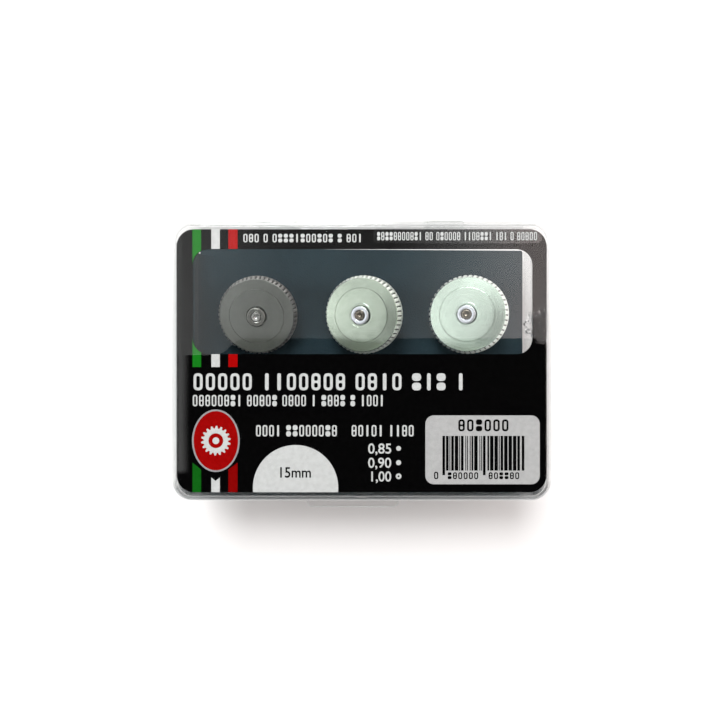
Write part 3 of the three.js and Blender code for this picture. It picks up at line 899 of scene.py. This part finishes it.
def make_foam():
    """The foam pad: soft cut edges, a left end that rides up the wall, and three pin holes."""
    width = FOAM_HIGH.x - FOAM_LOW.x
    profile = [(0.1, FOAM_LOW.z), (0.0, FOAM_LOW.z + 0.1)]
    profile += arc(FOAM_SOFT, FOAM_TOP - FOAM_SOFT, FOAM_SOFT, 180, 90, steps=5)
    profile += [(FOAM_SOFT + 0.05, FOAM_TOP)]
    rings = []
    for inset, z in profile:
        sides = (FOAM_LOW.x + inset, FOAM_HIGH.x - inset, FOAM_LOW.y + inset, FOAM_HIGH.y - inset)
        outline = rounded_outline(*sides, FOAM_CORNER - inset, back_corner=FOAM_BACK_CORNER - inset)
        rings.append([
            (x, y + (FOAM_SKEW * (FOAM_HIGH.x - x) / width if y > 0 else 0), z) for x, y in outline
        ])
    pad = as_object("foam_cushion", loft(rings))
    cut_or_join(pad, foam_curl(), "UNION")
    deep, past = -20, 5  # from below the pad to above it, along the axle
    for name in WHEEL_NAMES:
        hole = turned([(0, deep), (PIN_HOLE, deep), (PIN_HOLE, past), (0, past)], 32)
        hole.transform(axle_place(name, scale=1))
        cut_or_join(pad, hole, "DIFFERENCE")
    return finish_piece(pad, "tray", "foam_pad", [FOAM])


def foam_curl():
    """The foam's left end, swept along Y. Its top edge waves a little."""
    outer, inner, top = FOAM_LOW.x, FOAM_LOW.x + CURL_THICKNESS, FOAM_HIGH.z
    section = [(inner + CURL_RADIUS, CURL_LOW), (inner + CURL_RADIUS + 0.02, FOAM_TOP - 0.01)]
    section += arc(inner + CURL_RADIUS, FOAM_TOP + CURL_RADIUS, CURL_RADIUS, 270, 180, steps=14)[1:]
    section += [(inner, top - 0.4), (inner - 0.08, top - 0.12), (inner - 0.3, top)]
    section += [(outer + 0.08, top - 0.12), (outer, top - 0.4), (outer, CURL_LOW)]
    front, back, steps = FOAM_LOW.y + 2.8, FOAM_HIGH.y - 1.2, 24
    waving, depth = 8, 0.12  # the height it waves above, and how far it waves
    rings = []
    for i in range(steps + 1):
        y = front + (back - front) * i / steps
        wave = depth * math.sin(i * 1.3) * math.sin(math.pi * i / steps)
        rings.append([(x, y, z if z < waving else z - depth + wave) for x, z in section])
    return loft(rings)


# ---------------------------------------------------------------- wheels


def axle_place(name, scale=MM):
    """Where a wheel stands: from its own axes, with Z along the axle, to the frame's."""
    spin = joint("spin_" + name)
    turn = Vector((0, 0, 1)).rotation_difference(Vector(spin["axis"])).to_matrix().to_4x4()
    return Matrix.Translation(Vector(spin["pos_m"]) / MM * scale) @ turn


def make_disc(name):
    """The toothed disc. Its notches are cut into the front edge of the ridge round its rim, and
    run out at the ridge's back edge."""
    face = [(DISC_BORE, WEB_HALF), (SEAT, WEB_HALF), (SEAT, 2.06), (5.19, 2.09), (6.92, 1.95), (RIM, 1.78)]
    # Each ring of the ridge: its radius at a tooth's crest, its height, and its radius in a notch.
    edge, high = 7.42, 0.98
    ridge = [(edge, high, 7.1), (TIP, 0.82, 7.13), (TIP, 0.3, 7.24), (TIP, -0.3, 7.38), (TIP, -0.76, TIP)]
    profile = [(r, -z, r) for r, z in face] + [(edge, -high, edge)]
    profile += ridge[::-1] + [(r, z, r) for r, z in reversed(face)]
    # How deep each step round a tooth is cut, from 0 at the crest to 1 in the notch.
    cuts = (0.0, 0.0, 0.0, 0.0, 0.0, 0.85, 1.0, 0.85)
    steps = TEETH[name] * len(cuts)
    rings = []
    for crest, z, notch in profile:
        ring = []
        for i in range(steps):
            a = 2 * math.pi * i / steps
            r = crest + (notch - crest) * cuts[i % len(cuts)]
            ring.append((r * math.cos(a), r * math.sin(a), z))
        rings.append(ring)
    disc = as_object("wheel_disc_" + name, loft(rings, closed=True))
    # Its own steel on the faces, paler steel on the ridge, and a dark colour in the notches' front part,
    # which is painted shade.
    for face in disc.data.polygons:
        x, y, z = face.center
        step = math.atan2(y, x) % (2 * math.pi) / (2 * math.pi) * steps % len(cuts)
        in_painted_shade = 5 < step < 7 and z > -0.2
        face.material_index = (2 if in_painted_shade else 1) if math.hypot(x, y) > RIM + 0.02 else 0
    return finish_piece(
        disc, "wheel_" + name, "toothed_disc_" + name, [STEEL[name], RIDGE[name], NOTCH_PAINTED_SHADE],
        sharp=9, place=axle_place(name),
    )


def make_flange(name, side):
    """A plate let into the disc, domed a very little, with a shallow turned step round its hole."""
    profile = [(PLATE_HOLE, PLATE_LOW), (PLATE, PLATE_LOW), (PLATE, 2.12), (5.06, 2.13), (4.2, 2.175)]
    profile += [(3.2, 2.205), (2.3, 2.22), (2.26, 2.2), (PLATE_HOLE, 2.19)]
    plate = turned(profile, 128, closed=True)
    if side < 0:
        plate.transform(Matrix.Rotation(math.pi, 4, "X"))
    word = "front" if side > 0 else "rear"
    piece = as_object(f"wheel_{word}_plate_{name}", plate)
    return finish_piece(
        piece, "wheel_" + name, f"{word}_flange_{name}", [STEEL[name]],
        sharp=9, place=axle_place(name),
    )


def make_bush(name):
    """The collar through the disc and its plates, rounded at both ends."""
    half = [(BUSH_BORE, 2.85), (1.0, 2.93), (1.08, 2.98), (1.2, 3.0)]
    half += [(1.5, 3.0), (1.6, 2.98), (1.68, 2.92), (BUSH, 2.8)]
    profile = [(r, -z) for r, z in half] + [(r, z) for r, z in reversed(half)]
    piece = as_object("wheel_collar_" + name, turned(profile, 96, closed=True))
    return finish_piece(
        piece, "wheel_" + name, "hub_bush_" + name, [COLLAR[name]],
        sharp=20, place=axle_place(name),
    )


def make_pin(name):
    """A pin with a rounded foot, and a round dimple in its front end."""
    foot = [(0, -PIN_BACK), (0.6, -PIN_BACK), (0.78, -6.2), (PIN, -6.0)]
    head = [(PIN, 2.92), (0.85, 3.04), (0.78, 3.13), (0.7, PIN_FRONT), (0.6, PIN_FRONT)]
    dimple = [(0.52, 3.07), (0.4, 2.88), (0.2, 2.75), (0, 2.73)]
    piece = as_object("wheel_axle_" + name, turned(foot + head + dimple, 96))
    return finish_piece(
        piece, "axle_" + name, "axle_pin_" + name, [PIN_STEEL[name]],
        sharp=30, place=axle_place(name),
    )


# ---------------------------------------------------------------- studio


def make_floor():
    """A wide pale floor."""
    half_width = 2500
    bm = bmesh.new()
    bmesh.ops.create_grid(bm, x_segments=2, y_segments=2, size=half_width)
    floor = as_object("studio_floor", bm)
    floor.data.transform(Matrix.Scale(MM, 4))
    n = new_material("floor_white")
    shader = n.add("BsdfPrincipled", Base_Color=(0.9, 0.9, 0.9, 1), Roughness=0.75, Specular_IOR_Level=0.2)
    floor.data.materials.append(n.surface(shader))


def make_tent():
    """A white tent round a dark opening overhead. The opening and the tent's sides are drawn on a
    ceiling one unit up, where a ray in their direction meets it."""
    world = bpy.data.worlds.new("tent")
    bpy.context.scene.world = world
    n = Nodes(world, "ShaderNodeOutputWorld")
    split = n.add("SeparateXYZ", Vector=n.add("TexCoord").outputs["Generated"])
    dx, dy, dz = split.outputs
    height = n.math("MAXIMUM", dz, 0.02)
    east, north = n.math("DIVIDE", dx, height), n.math("DIVIDE", dy, height)
    west, south = n.math("MULTIPLY", east, -1.0), n.math("MULTIPLY", north, -1.0)

    def step(value, low, high, strength):
        """A soft step from 0 up to a strength."""
        return n.remap(value, low, high, 0.0, strength, smooth=True)

    # The opening's far half lets in a little light, more at its two ends.
    glow = n.math("ADD", step(east, 0.05, 0.37, 1.1), step(west, 0.12, 0.38, 0.36))
    glow = n.math("ADD", glow, n.remap(north, 0.1, 0.26, 0.29, 0.17))
    near_edge = n.math("SUBTRACT", 0.045, step(west, 0.24, 0.3, 0.035))
    far_half = n.math("MULTIPLY", glow, n.math("GREATER_THAN", north, near_edge))
    west_edge = n.math("MULTIPLY", step(west, 0.352, 0.376, 0.85), step(south, 0.238, 0.226, 1.0))

    # Past the opening, the tent's four sides. The west one grows brighter to the west.
    west_side = n.math("ADD", step(west, 0.395, 0.43, 0.85), n.remap(west, 0.43, 0.66, 0.0, 0.34))
    west_side = n.math("ADD", west_side, step(west, 0.72, 0.95, 0.4))
    west_side = n.math("MULTIPLY", west_side, n.remap(north, -0.08, 0.14, 1.0, 0.6))
    west_side = n.math("MULTIPLY", west_side, n.remap(south, 0.22, 0.6, 1.0, 0.25))
    east_side = n.math("MULTIPLY", step(east, 0.4, 0.53, 1.0), n.remap(south, 0.15, 0.45, 1.0, 0.8))
    south_side = n.math("ADD", step(south, 0.3, 0.4, 0.45), step(east, 0.2, 0.35, 0.25))
    south_side = n.math("MULTIPLY", south_side, step(west, 0.75, 0.5, 1.0))
    south_side = n.math("MULTIPLY", south_side, n.math("GREATER_THAN", south, 0.3))
    north_side = step(north, 0.3, 0.42, 1.05)
    light = n.math("MAXIMUM", far_half, west_edge)
    for side in (west_side, east_side, south_side, north_side):
        light = n.math("MAXIMUM", light, side)

    # A dark band low in front, above the pale foot of the tent.
    level = n.math("SQRT", n.math("ADD", n.math("MULTIPLY", dx, dx), n.math("MULTIPLY", dy, dy)))
    frontness = n.math("DIVIDE", n.math("MULTIPLY", dy, -1.0), n.math("MAXIMUM", level, 0.01))
    band = n.math("MULTIPLY", step(height, 0.62, 0.45, 1.0), step(height, 0.2, 0.3, 1.0))
    light = n.math("MULTIPLY", light, n.remain(n.math("MULTIPLY", step(frontness, 0.7, 0.92, 1.0), band)))

    everywhere = 0.004
    warmth = step(east, 0.2, 0.37, 1.0)
    colour = n.blend(warmth, (1, 1, 0.99, 1), (1.12, 1.0, 0.97, 1))
    n.surface(n.add("Background", Color=colour, Strength=n.math("ADD", light, everywhere)))


def make_lamp():
    """A soft round lamp behind the case, turned towards it."""
    key = bpy.data.lights.new("key", "AREA")
    key.shape = "DISK"
    key.size = 0.4
    key.energy = 5.4
    lamp = bpy.data.objects.new("key", key)
    lamp.location = (-0.13, 0.50, 0.62)
    lamp.rotation_euler = (-lamp.location).to_track_quat("-Z", "Y").to_euler()
    bpy.context.scene.collection.objects.link(lamp)


def make_camera():
    """Straight above the case, a hair off its middle. The view is 127 mm wide at the card."""
    distance, view_width = 85.0, 127.0
    off_middle = (-0.28, 0.13)
    camera = bpy.data.cameras.new("camera")
    camera.sensor_width = 36
    camera.lens = camera.sensor_width * distance / view_width
    camera.clip_start = 0.005
    eye = bpy.data.objects.new("camera", camera)
    eye.location = Vector((*off_middle, CARD_HIGH.z + distance)) * MM
    bpy.context.scene.collection.objects.link(eye)
    bpy.context.scene.camera = eye


# ---------------------------------------------------------------- making

make_tray()
make_lid()
make_card()
make_numbers()
make_sticker()
make_sticker_marks()
make_foam()
for wheel in WHEEL_NAMES:
    make_disc(wheel)
    make_flange(wheel, 1)
    make_flange(wheel, -1)
    make_bush(wheel)
    make_pin(wheel)
make_floor()
make_tent()
make_lamp()
make_camera()
bpy.context.scene.view_settings.view_transform = "Standard"
